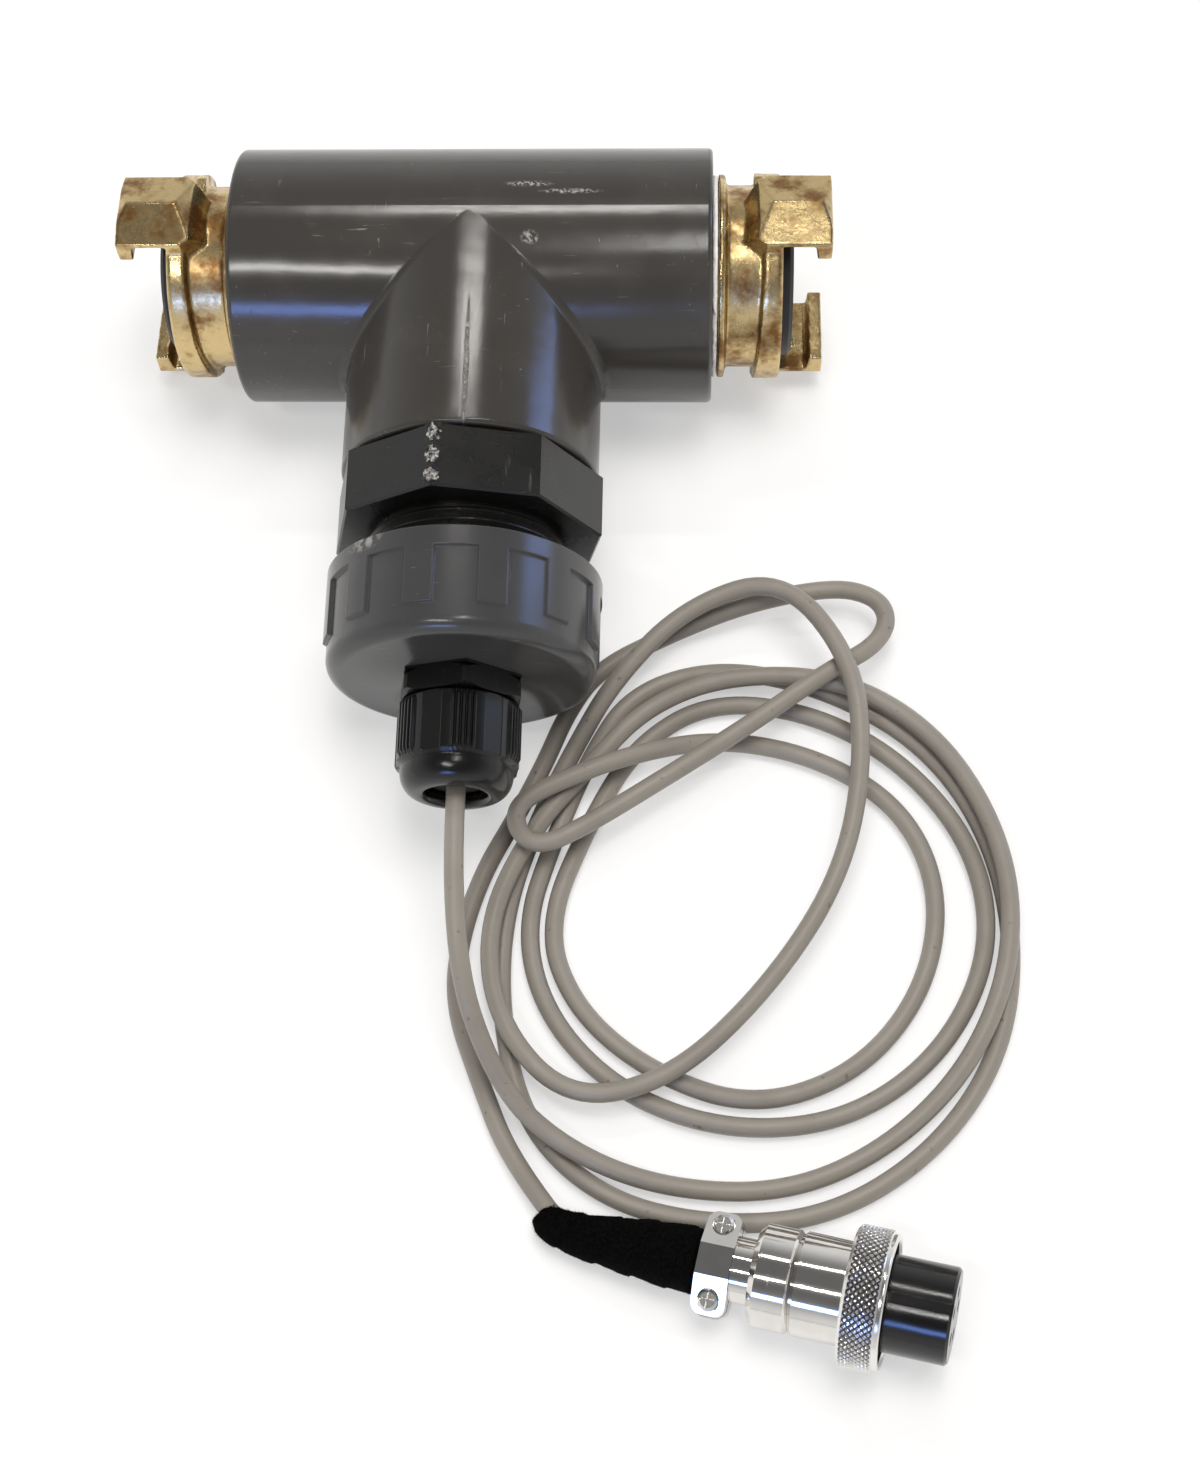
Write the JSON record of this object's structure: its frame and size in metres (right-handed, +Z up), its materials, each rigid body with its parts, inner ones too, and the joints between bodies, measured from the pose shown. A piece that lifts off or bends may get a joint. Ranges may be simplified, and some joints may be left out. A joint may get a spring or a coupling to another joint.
{
  "type": "in-line flow sensor",
  "caption": "In-line water flow sensor: plastic tee with claw hose couplings, paddle-wheel probe under a screw cap, cable gland, loose cable and round connector.",
  "frame": {"origin": "on the surface the fitting lies on, under the middle of the fitting without its cable and plug", "axes": "+X along the run of the tee, the branch and its cap point to -Y, +Z up"},
  "size_m": [0.2165, 0.2923, 0.065],
  "materials": {
    "pvc_grey": "glossy dark grey PVC, moulded",
    "pp_black": "satin black moulded plastic",
    "cap_grey": "satin dark grey moulded plastic",
    "brass_cast": "bright die-cast brass",
    "seal_black": "matte black rubber",
    "ptfe_white": "white sealing tape",
    "nylon_black": "satin black nylon",
    "cable_grey": "satin warm grey PVC jacket",
    "sleeve_black": "matte black wrapped sleeve",
    "chrome_plate": "polished plated brass",
    "steel": "bright steel",
    "contact_gold": "plated contact",
    "rotor_white": "natural moulded plastic",
    "magnet": "sintered magnet",
    "board_green": "solder mask",
    "resin_black": "cast resin"
  },
  "bodies": {
    "fitting": {"tee_body": "pvc_grey", "bush_right": "pvc_grey", "bush_left": "pvc_grey", "coupling_right": "brass_cast", "coupling_left": "brass_cast", "seal_right": "seal_black", "seal_left": "seal_black", "tape_right": "ptfe_white", "nipple": "pp_black", "probe_stem": "pp_black", "probe_o_ring_1": "seal_black", "probe_o_ring_2": "seal_black", "rotor_axle": "steel", "sensor_board": "board_green", "hall_chip": "resin_black", "board_leads": "contact_gold", "potting": "resin_black", "cable_inside": "cable_grey", "plug_clamp_bar": "chrome_plate", "plug_shell_rear": "chrome_plate", "plug_shell_front": "chrome_plate", "plug_clamp_screw_1": "steel", "plug_clamp_screw_2": "steel", "plug_insert": "resin_black", "plug_contacts": "contact_gold", "plug_sleeve": "sleeve_black", "cable": "cable_grey"},
    "cap_slider": {"cap_gasket": "seal_black"},
    "cap": {"screw_cap": "cap_grey", "gland_body": "nylon_black", "gland_locknut": "nylon_black"},
    "gland_slider": {"gland_grommet": "seal_black"},
    "nut": {"gland_nut": "nylon_black"},
    "rotor": {"paddle_wheel": "rotor_white", "rotor_magnets": "magnet"},
    "plug_ring_body": {"plug_ring": "chrome_plate"}
  },
  "joints": [
    {"name": "cap_travel", "type": "slide", "parent": "fitting", "child": "cap_slider", "axis": [0, -1, 0], "range_m": [0, 0.00924]},
    {"name": "cap_turn", "type": "hinge", "parent": "cap_slider", "child": "cap", "pos_m": [-0.0006, -0.05, 0.0325], "axis": [0, -1, 0], "range_deg": [0, 1440]},
    {"name": "nut_travel", "type": "slide", "parent": "cap", "child": "gland_slider", "axis": [0, -1, 0], "range_m": [0, 0.006]},
    {"name": "nut_turn", "type": "hinge", "parent": "gland_slider", "child": "nut", "pos_m": [-0.0006, -0.075, 0.0325], "axis": [0, -1, 0], "range_deg": [0, 1440]},
    {"name": "rotor_spin", "type": "hinge", "parent": "fitting", "child": "rotor", "pos_m": [-0.0006, 0.03935, 0.0325], "axis": [0, 0, 1], "continuous": true},
    {"name": "ring_spin", "type": "hinge", "parent": "fitting", "child": "plug_ring_body", "pos_m": [0.0562, -0.1846, 0.0101], "axis": [0.9659, -0.2091, 0.1524], "continuous": true}
  ],
  "couplings": [
    {"joint": "cap_travel", "follows": "cap_turn", "m_per_rad": 0.00036749},
    {"joint": "nut_travel", "follows": "nut_turn", "m_per_rad": 0.00023873}
  ]
}
